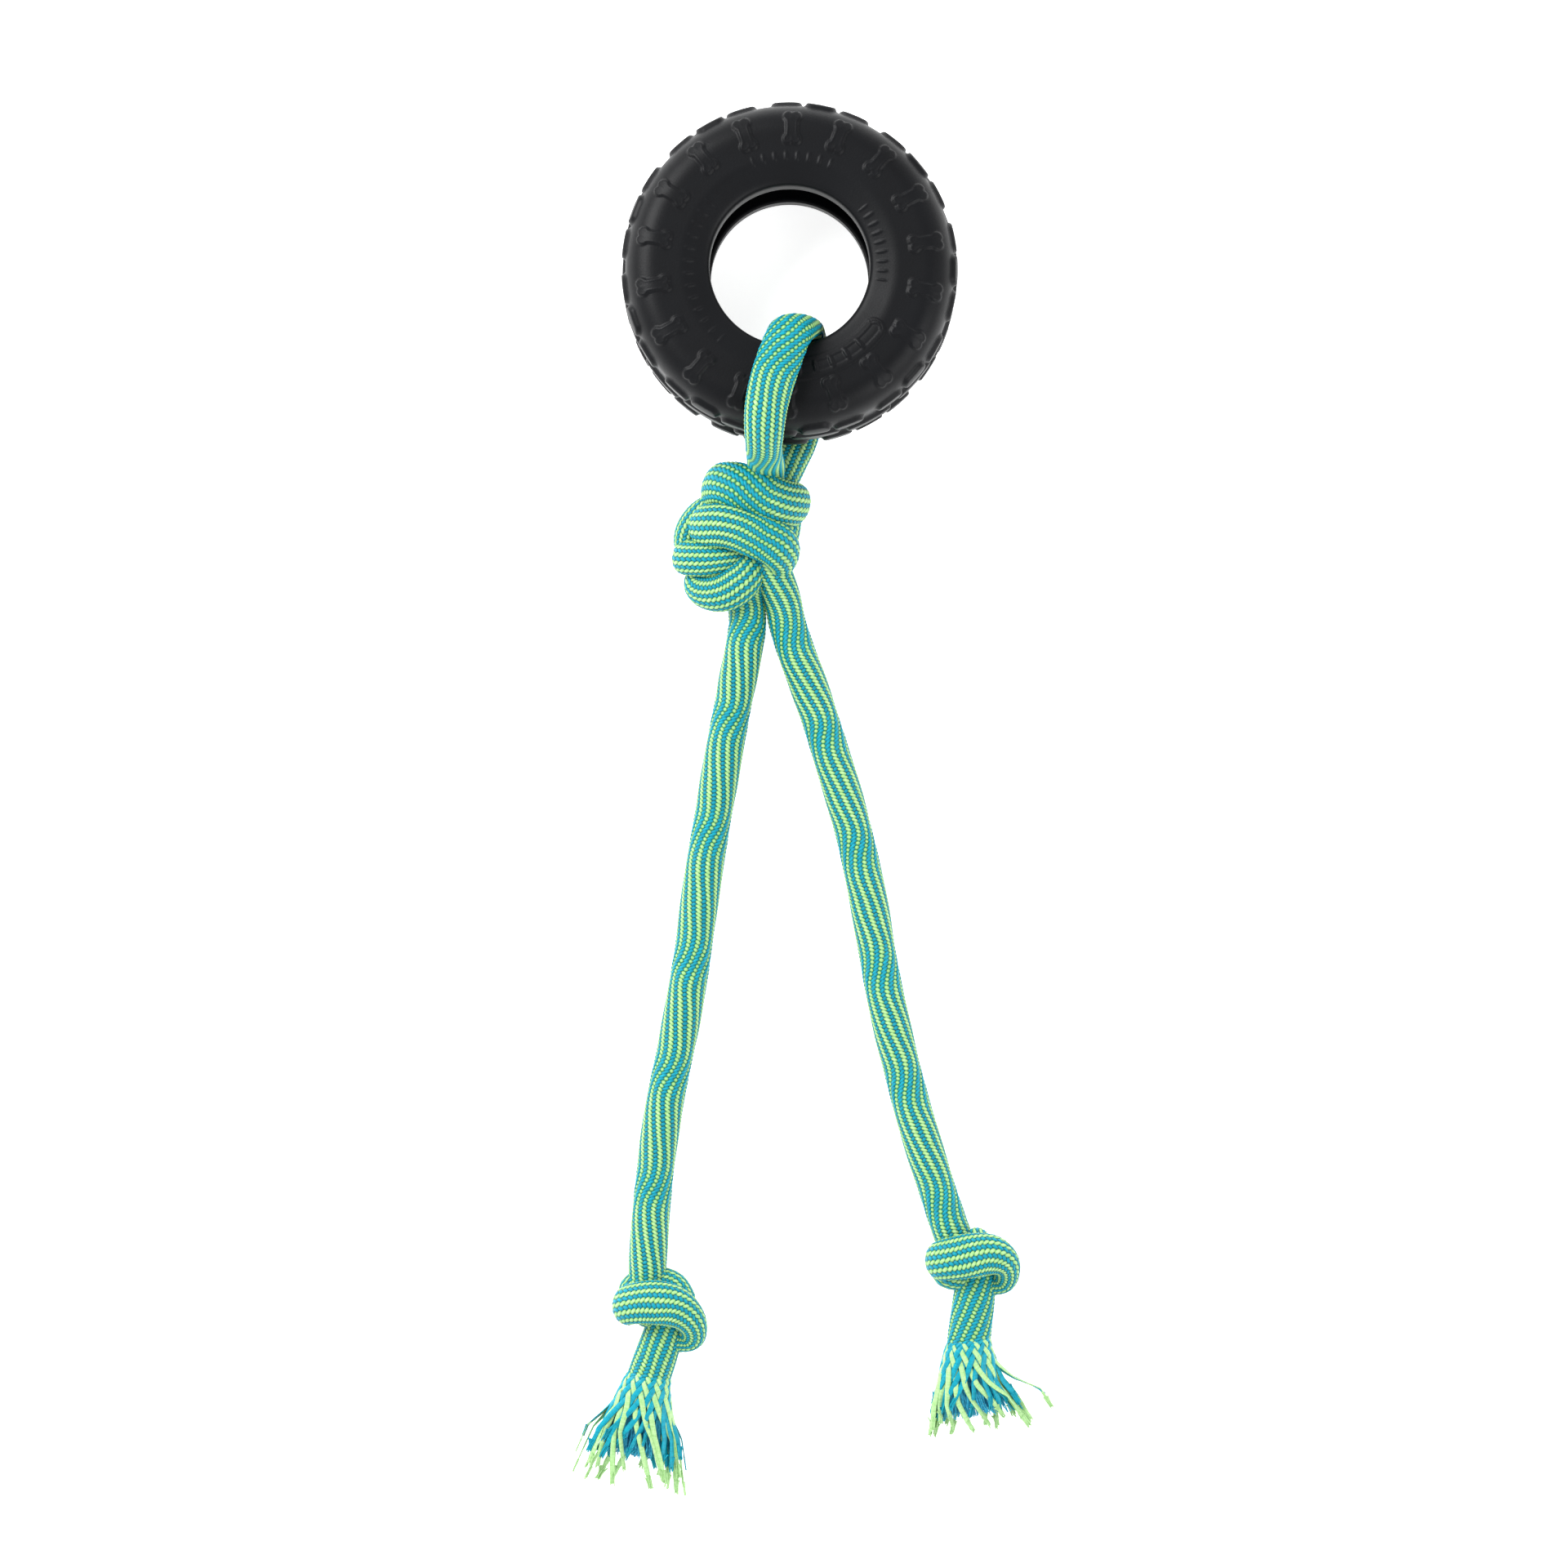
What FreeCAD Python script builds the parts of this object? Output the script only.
import FreeCAD, Part
import math
import os
import Sketcher

# A small rubber tyre with a braided rope. The rope is doubled through the tyre's hole, tied in one
# overhand knot, and runs on as two legs, each with an end knot and a tassel.
# Millimetres and degrees. The origin is on the floor under the middle of the tyre. The rope lies
# towards -Y, +X is to the right seen from above, and the whole toy lies flat on z = 0.

SIZES = {
    "crown_radius": 49.8,
    "tread_radius": 51.0,
    "bore_radius": 24.2,
    "side_half_width": 18.6,
    "bead_half_width": 17.0,
    "bead_round": 1.2,
    "bead_slope": 8.0,
    "shoulder_depth": 8.8,
    "casing_wall": 4.8,
    "cavity_mouth": 10.0,
    "cavity_slope": 6.5,
    "cavity_corner": 5.0,
    "crown_half_width": 9.5,
    "bone_raise": 0.6,
    "bone_radius": 41.5,
    "bone_half_length": 3.5,
    "bone_lobe": 1.6,
    "pad_width": 5.2,
    "toe_length": 9.6,
    "palm_length": 15.6,
    "tyre_tilt": 4.0,
    "rope_diameter": 11.6,
    "cover_wall": 1.4,
    "run_clearance": 0.4,
    "loop_lift_max": 45.0,
    "leg_swing_max": 60.0,
}

BONE_COUNT = 18
BONE_PHASE = 1.0         # degrees clockwise from +Y to the first bone
TREAD_GROUPS = 9         # each group is three toe pads beside one long palm pad
GROUP_PHASE = 11.0
TOES = ((-12.0, 8.6), (0.0, 11.0), (12.0, 8.6))     # degrees from the group's middle, height
PALM_HEIGHT = 2.8
BONE_ROOT = 4.5          # how far a bone's solid goes into the sidewall under it
SHAFT_SHARE = 1.2        # a bone's shaft is this many lobe radii to each side
LOBE_SPREAD = 0.72       # and its lobes stand this many radii off its middle line
PAD_ROOT = 2.0
REACH = 400.0            # half of a cutting block larger than the toy


doc = FreeCAD.newDocument("rope_tyre_toy")


def vec(x, y, z):
    return FreeCAD.Vector(x, y, z)


ORIGIN, X_AXIS, Y_AXIS, Z_AXIS = vec(0, 0, 0), vec(1, 0, 0), vec(0, 1, 0), vec(0, 0, 1)


def make_sheet():
    """Driving dimensions, one row each, with the value's alias named like its row."""
    table = doc.addObject("Spreadsheet::Sheet", "sizes")
    for row, (alias, value) in enumerate(SIZES.items(), start=1):
        table.set(f"A{row}", alias)
        table.set(f"B{row}", str(value))
        table.setAlias(f"B{row}", alias)
    doc.recompute()
    return table


sheet = make_sheet()


def size(alias):
    return float(sheet.get(alias))


ROPE_RADIUS = size("rope_diameter") / 2
GAP = size("run_clearance")

# Radii that follow the sheet
ROPE = "sizes.rope_diameter / 2"
CORE = "sizes.rope_diameter / 2 - sizes.cover_wall"
ROOM = "sizes.rope_diameter / 2 + sizes.run_clearance"
WALL = "sizes.cover_wall"
NO_INSET = "0"


# ---------------------------------------------------------------- small makers

def group(kind, name, **links):
    """A boolean of other document objects."""
    obj = doc.addObject(kind, name)
    for prop, value in links.items():
        setattr(obj, prop, value)
    obj.Refine = False
    return obj


def fuse(name, shapes):
    return group("Part::MultiFuse", name, Shapes=shapes)


def cut(name, base, tool):
    return group("Part::Cut", name, Base=base, Tool=tool)


def bind(obj, prop, value):
    """Sets a size: a number, or an expression on the sheet."""
    if isinstance(value, str):
        obj.setExpression(prop, value)
    else:
        setattr(obj, prop, value)


def box(name, low, high):
    obj = doc.addObject("Part::Box", name)
    obj.Length, obj.Width, obj.Height = high - low
    obj.Placement.Base = low
    return obj


def bar(name, start, end, radius):
    """A round bar from start to end."""
    obj = doc.addObject("Part::Cylinder", name)
    bind(obj, "Radius", radius)
    obj.Height = (end - start).Length
    obj.Placement = FreeCAD.Placement(start, FreeCAD.Rotation(Z_AXIS, end - start))
    return obj


def capsule(name, start, end, radius):
    """A bar with ball ends, turned from half its outline: one strand of a knot, as a plain solid."""
    length = (end - start).Length
    low, high, middle = -radius, length + radius, radius * math.sin(math.pi / 4)
    outline = Part.Wire([
        Part.Arc(vec(0, 0, low), vec(middle, 0, -middle), vec(radius, 0, 0)).toShape(),
        Part.LineSegment(vec(radius, 0, 0), vec(radius, 0, length)).toShape(),
        Part.Arc(vec(radius, 0, length), vec(middle, 0, length + middle), vec(0, 0, high)).toShape(),
        Part.LineSegment(vec(0, 0, high), vec(0, 0, low)).toShape(),
    ])
    strand = doc.addObject("Part::Feature", name)
    strand.Shape = Part.Face(outline).revolve(ORIGIN, Z_AXIS, 360)
    strand.Placement = FreeCAD.Placement(start, FreeCAD.Rotation(Z_AXIS, end - start))
    return strand


def lumps(name, table):
    """Capsules fused and trimmed flat at z = 0."""
    pieces = []
    for tag, start, end, radius in table:
        pieces.append(capsule(f"{name}_{tag}", vec(*start), vec(*end), radius))
    block = box(name + "_room", vec(-REACH, -REACH, 0), vec(REACH, REACH, REACH))
    return group("Part::Common", name + "_lumps", Base=fuse(name + "_strands", pieces), Tool=block)


# ---------------------------------------------------------------- tyre

def shoulder_edge(sign, swell=0.0):
    """The rounded shoulder, from the end of the flat sidewall to the crown."""
    crown, side, tread = size("crown_radius"), size("side_half_width"), size("crown_half_width")
    flat_to = crown - size("shoulder_depth")
    lean = math.sqrt(0.5)
    middle_r = flat_to + (size("shoulder_depth") + swell) * lean
    middle_w = tread + (side + swell - tread) * lean
    ends = vec(flat_to, sign * (side + swell), 0), vec(crown + swell, sign * tread, 0)
    return Part.Arc(ends[0], vec(middle_r, sign * middle_w, 0), ends[1])


def chain(corners):
    """Straight edges from corner to corner, each a (radius, height) pair."""
    return [Part.LineSegment(vec(*a, 0), vec(*b, 0)) for a, b in zip(corners, corners[1:])]


def casing_body():
    """The hollow casing, open to the hole like a road tyre: one half section, revolved."""
    body = doc.addObject("PartDesign::Body", "casing")
    plane = next(f for f in body.Origin.OriginFeatures if f.Role == "XZ_Plane")
    sketch = body.newObject("Sketcher::SketchObject", "casing_section")
    sketch.AttachmentSupport = (plane, [""])
    sketch.MapMode = "FlatFace"

    bore, crown, mouth = size("bore_radius"), size("crown_radius"), size("cavity_mouth")
    side, bead, tread = size("side_half_width"), size("bead_half_width"), size("crown_half_width")
    bead_round, corner = size("bead_round"), size("cavity_corner")
    flat_from, flat_to = bore + size("bead_slope"), crown - size("shoulder_depth")
    inner_crown, deep_side = crown - size("casing_wall"), side - size("casing_wall")
    deep_from, deep_to = bore + size("cavity_slope"), inner_crown - corner

    right_side = [(bore, mouth), (bore, bead - bead_round), (bore + bead_round, bead),
                  (flat_from, side), (flat_to, side)]
    mirrored = [(r, -w) for r, w in reversed(right_side)]
    cavity = [(bore, -mouth), (deep_from, -deep_side), (deep_to, -deep_side),
              (inner_crown, corner - deep_side), (inner_crown, deep_side - corner),
              (deep_to, deep_side), (deep_from, deep_side), (bore, mouth)]
    edges = chain(right_side) + [shoulder_edge(1)] + chain([(crown, tread), (crown, -tread)])
    edges += [shoulder_edge(-1)] + chain(mirrored) + chain(cavity)
    ids = [sketch.addGeometry(edge, False) for edge in edges]
    for first, second in zip(ids, ids[1:] + ids[:1]):
        join = [(a, b) for a in (1, 2) for b in (1, 2)
                if sketch.getPoint(first, a).isEqual(sketch.getPoint(second, b), 1e-6)]
        sketch.addConstraint(Sketcher.Constraint("Coincident", first, join[0][0], second, join[0][1]))
    bore_edge, crown_edge, side_edge = ids[0], ids[len(right_side)], ids[len(right_side) - 2]
    for edge, kind, value, alias in ((bore_edge, "DistanceX", bore, "bore_radius"),
                                     (bore_edge, "DistanceY", mouth, "cavity_mouth"),
                                     (crown_edge, "DistanceX", crown, "crown_radius"),
                                     (crown_edge, "DistanceY", tread, "crown_half_width"),
                                     (side_edge, "DistanceY", side, "side_half_width")):
        number = sketch.addConstraint(Sketcher.Constraint(kind, -1, 1, edge, 1, value))
        sketch.setExpression(f"Constraints[{number}]", f"sizes.{alias}")

    turn = body.newObject("PartDesign::Revolution", "casing_turn")
    turn.Profile = sketch
    turn.ReferenceAxis = (sketch, ["V_Axis"])
    turn.Angle = 360.0
    doc.recompute()
    return body


def turned(shape, clockwise, lift=0.0):
    """A copy turned clockwise about the tyre's axis, seen from its front, and moved along it."""
    copy = shape.copy()
    copy.rotate(ORIGIN, Z_AXIS, -clockwise)
    copy.translate(vec(0, 0, lift))
    return copy


def bone_shape(sign):
    """One raised bone: a shaft with two lobes at each end, cut to follow sidewall and shoulder."""
    raised = size("bone_raise")
    top, root = size("side_half_width") + raised, size("side_half_width") - BONE_ROOT
    lobe, half, middle = size("bone_lobe"), size("bone_half_length"), size("bone_radius")
    low, depth = (root if sign > 0 else -top), top - root
    wide = 2 * SHAFT_SHARE * lobe
    shaft = Part.makeBox(wide, 2 * half, depth, vec(-wide / 2, middle - half, low))
    lobes = [Part.makeCylinder(lobe, depth, vec(x, middle + y, low))
             for x in (-LOBE_SPREAD * lobe, LOBE_SPREAD * lobe) for y in (-half, half)]
    return shaft.fuse(lobes).common(swollen_casing(sign, raised))


def swollen_casing(sign, swell):
    """One half of the casing's outline with its sidewall and shoulder pushed out, as a solid."""
    outer = size("crown_radius") + swell
    level = sign * (size("side_half_width") + swell)
    corners = [(outer, sign * size("crown_half_width")), (outer, 0), (0, 0), (0, level),
               (size("crown_radius") - size("shoulder_depth"), level)]
    edges = chain(corners) + [shoulder_edge(sign, swell)]
    outline = Part.Wire(Part.__sortEdges__([edge.toShape() for edge in edges]))
    solid = Part.Face(outline).revolve(ORIGIN, Y_AXIS, 360)
    solid.rotate(ORIGIN, X_AXIS, 90)
    return solid


def pad_shape(length):
    """One tread pad: a round-ended block that follows the crown."""
    width = size("pad_width")
    foot, rise = size("crown_radius") - PAD_ROOT, 3 * PAD_ROOT
    straight = length - width
    block = Part.makeBox(straight, rise, width, vec(-straight / 2, foot, -width / 2))
    ends = [Part.makeCylinder(width / 2, rise, vec(x, foot, 0), Y_AXIS)
            for x in (-straight / 2, straight / 2)]
    ring = Part.makeCylinder(size("tread_radius"), width * 2, vec(0, 0, -width))
    return block.fuse(ends).common(ring)


def relief_feature():
    """Bones on both sidewalls, and toe and palm pads in mirrored groups around the tread."""
    solids = []
    for sign in (1, -1):
        bone = bone_shape(sign)
        solids += [turned(bone, BONE_PHASE + i * 360 / BONE_COUNT) for i in range(BONE_COUNT)]
    toe, palm = pad_shape(size("toe_length")), pad_shape(size("palm_length"))
    step = 360 / TREAD_GROUPS
    for sign, stagger in ((1, 0.0), (-1, step / 2)):
        for i in range(TREAD_GROUPS):
            middle = GROUP_PHASE + stagger + i * step
            solids += [turned(toe, middle + offset, sign * height) for offset, height in TOES]
            solids.append(turned(palm, middle, sign * PALM_HEIGHT))
    relief = doc.addObject("Part::Feature", "relief")
    relief.Shape = Part.Compound(solids)
    return relief


def make_tyre():
    """Casing and relief as one moulding, its -Y side raised by the rope that passes under it."""
    tyre = fuse("tyre", [casing_body(), relief_feature()])
    doc.recompute()
    tilt = FreeCAD.Rotation(X_AXIS, -size("tyre_tilt"))
    flat = tyre.Shape.copy()
    flat.Placement = FreeCAD.Placement(ORIGIN, tilt)
    tyre.Placement = FreeCAD.Placement(vec(0, 0, -flat.optimalBoundingBox(False).ZMin), tilt)
    return tyre


tyre = make_tyre()
TYRE_HEIGHT = tyre.Placement.Base.z
WALL_RADIUS = (size("bore_radius") + size("tread_radius")) / 2
print("tyre axis height", round(TYRE_HEIGHT, 3))


# ---------------------------------------------------------------- rope: loop through the tyre

# Middle of the strand, its width and its thickness, from the knot under the tyre, up through the
# hole, over the front and back to the knot. It is pressed flat under the tyre.
LOOP = (
    (-2.5, -60.0, 6.0, 11.6, 11.4),
    (-0.6, -55.5, 5.4, 12.6, 9.8),
    (1.2, -50.5, 4.0, 14.2, 7.2),
    (2.5, -45.0, 2.9, 15.4, 5.2),
    (3.4, -38.0, 2.6, 15.4, 5.0),
    (4.1, -31.0, 2.6, 15.4, 5.0),
    (4.5, -25.8, 3.1, 14.8, 5.6),
    (4.7, -20.9, 5.0, 13.8, 7.0),
    (4.8, -18.7, 9.6, 13.2, 8.4),
    (4.5, -18.3, 17.5, 13.0, 8.8),
    (4.0, -18.0, 27.0, 13.0, 8.8),
    (3.2, -17.8, 35.0, 13.2, 8.8),
    (2.3, -18.2, 41.5, 13.4, 8.8),
    (0.8, -20.4, 45.9, 13.6, 8.6),
    (-1.2, -25.0, 48.0, 13.8, 8.4),
    (-3.6, -31.5, 48.6, 14.0, 8.4),
    (-5.5, -38.0, 49.0, 13.8, 8.4),
    (-6.8, -43.8, 49.0, 13.6, 8.4),
    (-7.5, -50.0, 46.8, 13.2, 8.6),
    (-7.6, -55.0, 41.4, 12.6, 8.8),
    (-7.4, -57.8, 33.6, 12.0, 9.4),
    (-6.9, -59.2, 25.6, 11.6, 10.4),
    (-6.3, -60.0, 18.0, 11.3, 11.0),
)
NECK = vec(-6.3, -60.0, 18.0)        # the loop hinges here, about +X


def loop_sections(name, inset):
    """One ellipse across the strand at each station, its short side towards the tyre's wall."""
    stations = [vec(*row[:3]) for row in LOOP]
    sections = []
    for i, (here, row) in enumerate(zip(stations, LOOP)):
        ahead, behind = stations[min(i + 1, len(LOOP) - 1)], stations[max(i - 1, 0)]
        tangent = (ahead - behind).normalize()
        outward = vec(here.x, here.y, 0).normalize()
        wall = outward * WALL_RADIUS + vec(0, 0, TYRE_HEIGHT)
        width_way = tangent.cross(wall - here).normalize()
        ellipse = doc.addObject("Part::Ellipse", f"{name}_section")
        bind(ellipse, "MajorRadius", f"{row[3] / 2} - {inset}")
        bind(ellipse, "MinorRadius", f"{row[4] / 2} - {inset}")
        turn = FreeCAD.Rotation(width_way, tangent.cross(width_way), tangent, "ZXY")
        ellipse.Placement = FreeCAD.Placement(here, turn)
        sections.append(ellipse)
    return sections


def loop_strand(name, inset):
    strand = doc.addObject("Part::Loft", name)
    strand.Sections = loop_sections(name, inset)
    strand.Solid = True
    strand.Ruled = True
    return strand


def make_loop():
    """Cover and core of the doubled stretch, with a round end that turns in the knot's notch."""
    half = vec(LOOP[-1][3] / 2 - GAP / 2, 0, 0)
    heel = bar("loop_heel", NECK - half, NECK + half, LOOP[-1][4] / 2)
    outside = fuse("loop_outside", [loop_strand("loop_skin", NO_INSET), heel])
    core = loop_strand("loop_core", WALL)
    cover = cut("loop_cover", outside, loop_strand("loop_hollow", WALL))
    return [cover, core]


# ---------------------------------------------------------------- rope: legs, end knots, tassels

SIDES = {
    "left": {
        "leg": ((-12.8, -108.0), (-18.2, -134.0), (-27.2, -186.0), (-31.2, -219.0),
                (-42.3, -271.0), (-44.0, -309.0)),
        "end_knot": (
            ("crown", (-47.0, -318.0, 12.6), (-34.0, -317.0, 12.6), 7.8),
            ("cheek", (-39.5, -314.0, 11.0), (-34.5, -322.5, 9.5), 7.6),
            ("base", (-45.5, -316.5, 6.2), (-36.5, -321.5, 6.2), 6.5),
        ),
        "tail": ((-37.5, -321.0), (-44.2, -340.5)),
        "tassel": ((-46.4, -352.0, 12.5, 5.6), (-49.0, -365.6, 17.8, 5.5)),
        "outward": -1,
    },
    "right": {
        "leg": ((-0.4, -108.0), (8.9, -133.0), (22.4, -178.0), (29.2, -222.0),
                (41.6, -270.0), (51.5, -298.0)),
        "end_knot": (
            ("crown", (48.7, -302.8, 12.6), (63.0, -300.8, 12.6), 7.6),
            ("heel", (48.6, -304.6, 8.6), (63.4, -304.9, 8.6), 6.4),
            ("base", (51.5, -299.5, 6.2), (59.0, -304.5, 6.2), 6.5),
        ),
        "tail": ((57.8, -306.0), (54.6, -332.0)),
        "tassel": ((57.4, -343.0, 13.0, 5.6), (61.2, -354.8, 18.6, 5.5)),
        "outward": 1,
    },
}


def smooth_path(points):
    """Straight runs joined by tangent arcs, each arc as large as its two runs allow."""
    edges, start = [], points[0]
    for before, corner, after in zip(points, points[1:], points[2:]):
        into, out = (corner - before), (after - corner)
        turn = into.getAngle(out)
        tangent_length = 0.45 * min(into.Length, out.Length)
        into.normalize()
        out.normalize()
        first, last = corner - into * tangent_length, corner + out * tangent_length
        radius = tangent_length / math.tan(turn / 2)
        towards = (out - into).normalize()
        middle = corner + towards * (radius / math.cos(turn / 2) - radius)
        edges += [Part.LineSegment(start, first).toShape(), Part.Arc(first, middle, last).toShape()]
        start = last
        print("  arc radius", round(radius, 1))
    edges.append(Part.LineSegment(start, points[-1]).toShape())
    return Part.Wire(edges)


def tube(name, points, radius):
    """A solid round rod along a smooth path."""
    path = doc.addObject("Part::Feature", name + "_path")
    path.Shape = smooth_path(points)
    ring = doc.addObject("Part::Circle", name + "_ring")
    bind(ring, "Radius", radius)
    ring.Placement = FreeCAD.Placement(points[0], FreeCAD.Rotation(Z_AXIS, points[1] - points[0]))
    rod = doc.addObject("Part::Sweep", name)
    rod.Sections = [ring]
    rod.Spine = (path, [f"Edge{i + 1}" for i in range(len(path.Shape.Edges))])
    rod.Solid = True
    rod.Frenet = False
    doc.recompute()
    expected = math.pi * ring.Radius.Value ** 2 * path.Shape.Length
    print(f"{name}: length {path.Shape.Length:.1f}, volume ratio {rod.Shape.Volume / expected:.4f}")
    return rod


def on_floor(points):
    return [vec(x, y, ROPE_RADIUS) for x, y in points]


def flat_loft(name, start, away, stations, inset):
    """A tassel's outline: from the round tail to wide, low ellipses."""
    rings = []
    rows = [(start.x, start.y, ROPE_RADIUS, ROPE_RADIUS)] + list(stations)
    turn = FreeCAD.Rotation(away.cross(Z_AXIS) * -1, Z_AXIS, away, "ZXY")
    for x, y, wide, high in rows:
        ring = doc.addObject("Part::Ellipse", name + "_ring")
        bind(ring, "MajorRadius", f"{wide} - {inset}")
        bind(ring, "MinorRadius", f"{high} - {inset}")
        ring.Placement = FreeCAD.Placement(vec(x, y, high), turn)
        rings.append(ring)
    loft = doc.addObject("Part::Loft", name)
    loft.Sections = rings
    loft.Solid = True
    loft.Ruled = True
    return loft


def make_leg(side, plan):
    """Cover and core of one leg. The cover's round start sits in a socket of the main knot."""
    name = side + "_leg"
    points = on_floor(plan["leg"])
    skin = tube(name + "_skin", points, ROPE)
    low, high = vec(points[0].x, points[0].y, 0), vec(points[0].x, points[0].y, 2 * ROPE_RADIUS)
    heel = bar(name + "_heel", low, high, ROPE)
    core = tube(name + "_core", points, CORE)
    hollow = tube(name + "_hollow", points, CORE)
    cover = cut(name + "_cover", fuse(name + "_outside", [skin, heel]), hollow)
    return cover, core, skin


def make_tail(side, plan):
    """The short stretch past the end knot, and its opened end: yarns around core fibres."""
    name = side + "_tail"
    points = on_floor(plan["tail"])
    skin = tube(name + "_skin", points, ROPE)
    core = tube(name + "_core", points, CORE)
    cover = cut(name + "_cover", skin, tube(name + "_hollow", points, CORE))
    away = (points[1] - points[0]).normalize()
    fan = flat_loft(side + "_tassel_outside", points[1], away, plan["tassel"], NO_INSET)
    mid = plan["tassel"][:1]
    fibres = flat_loft(side + "_tassel_core", points[1], away, mid, WALL)
    hollow = flat_loft(side + "_tassel_hollow", points[1], away, mid, WALL)
    yarns = cut(side + "_tassel_yarns", fan, hollow)
    return [cover, core, yarns, fibres], skin


def make_side(side, plan):
    cover, core, leg_skin = make_leg(side, plan)
    tail_parts, tail_skin = make_tail(side, plan)
    knot = cut(side + "_end_knot", lumps(side + "_knot", plan["end_knot"]),
               fuse(side + "_knot_ways", [leg_skin, tail_skin]))
    return [cover, core, knot] + tail_parts


# ---------------------------------------------------------------- rope: main knot

KNOT_STRANDS = (
    ("upper_band", (-19.5, -63.5, 17.5), (-1.0, -71.5, 17.0), 7.0),
    ("lower_band", (-28.0, -78.5, 17.0), (-3.5, -85.5, 16.5), 7.2),
    ("left_bulge", (-29.8, -86.0, 11.0), (-20.0, -88.0, 11.0), 6.8),
    ("low_bulge", (-24.0, -93.5, 9.5), (-15.0, -95.0, 9.5), 7.0),
    ("upper_base", (-22.0, -70.0, 6.0), (-1.0, -78.0, 6.0), 6.8),
    ("lower_base", (-26.0, -80.0, 6.0), (-4.0, -91.0, 6.0), 6.8),
    ("left_way_out", (-13.5, -94.0, 6.2), (-12.8, -105.5, 5.8), 5.8),
    ("right_way_out", (-5.5, -92.0, 7.0), (-1.2, -105.5, 5.8), 5.8),
)


SWING_STEPS = 8
SWING_REACH = 20.0       # how far from a leg's heel the knot is cleared
LIFT_STEPS = 5
LIFT_REACH = 40.0
BACK_STRAND_ROOM = ((-12.0, -1.0), (8.0, 13.0))     # (x, z) corners beside the strand under the tyre


def swing_room(side, plan):
    """The fan a leg sweeps as it swings outward, and a little inward, from the knot."""
    heel, ahead = on_floor(plan["leg"])[:2]
    reach = (ahead - heel).normalize() * SWING_REACH
    below, above = vec(heel.x, heel.y, -GAP), vec(heel.x, heel.y, 2 * ROPE_RADIUS + GAP)
    room = [bar(side + "_swing_heel", below, above, ROOM)]
    for i in range(-1, SWING_STEPS + 1):
        angle = plan["outward"] * size("leg_swing_max") * i / SWING_STEPS
        end = heel + FreeCAD.Rotation(Z_AXIS, angle).multVec(reach)
        room.append(bar(side + "_swing_bar", heel, end, ROOM))
    return room


def lift_room():
    """The notch for the loop's round end and for its front strand as the loop is lifted."""
    half_width = max(row[3] for row in LOOP[-4:]) / 2 + 3 * GAP
    lean = vec((LOOP[-4][0] + LOOP[-1][0]) / 2, NECK.y, NECK.z)
    half = vec(half_width, 0, 0)
    thick = LOOP[-1][4] / 2 + 1.5 * GAP
    room = [bar("lift_heel", lean - half, lean + half, thick)]
    for i in range(LIFT_STEPS + 1):
        slab = box("lift_slab", vec(-half_width, -thick, 0), vec(half_width, thick, LIFT_REACH))
        turn = FreeCAD.Rotation(X_AXIS, size("loop_lift_max") * i / LIFT_STEPS)
        slab.Placement = FreeCAD.Placement(lean, turn) * slab.Placement
        room.append(slab)
    (left, below), (right, above) = BACK_STRAND_ROOM
    near = LOOP[0][1] - GAP
    room.append(box("back_strand_room", vec(left, near, below), vec(right, near + LIFT_REACH, above)))
    return room


def make_main_knot():
    room = lift_room()
    for side, plan in SIDES.items():
        room += swing_room(side, plan)
    return cut("main_knot", lumps("main", KNOT_STRANDS), fuse("main_knot_room", room))


# ---------------------------------------------------------------- build, check and write

def write_parts(subparts):
    doc.recompute()
    for obj in doc.Objects:
        if {"Invalid", "Error"} & set(obj.State):
            raise RuntimeError(f"{obj.Name} failed: {obj.State}")
    for obj in subparts:
        if obj.Shape.isNull() or not obj.Shape.isValid():
            raise RuntimeError(f"{obj.Label} has no valid shape")
    os.makedirs("parts", exist_ok=True)
    for obj in subparts:
        obj.Label = obj.Name
        obj.Shape.exportStep(f"parts/{obj.Label}.step")
        extent = obj.Shape.optimalBoundingBox(False)
        print(f"{obj.Label}: {len(obj.Shape.Solids)} solid, {obj.Shape.Volume / 1000:.2f} cm3, "
              f"z {extent.ZMin:.2f} to {extent.ZMax:.2f}")


subparts = [tyre] + make_loop() + [make_main_knot()]
for side_name, side_plan in SIDES.items():
    subparts += make_side(side_name, side_plan)
write_parts(subparts)
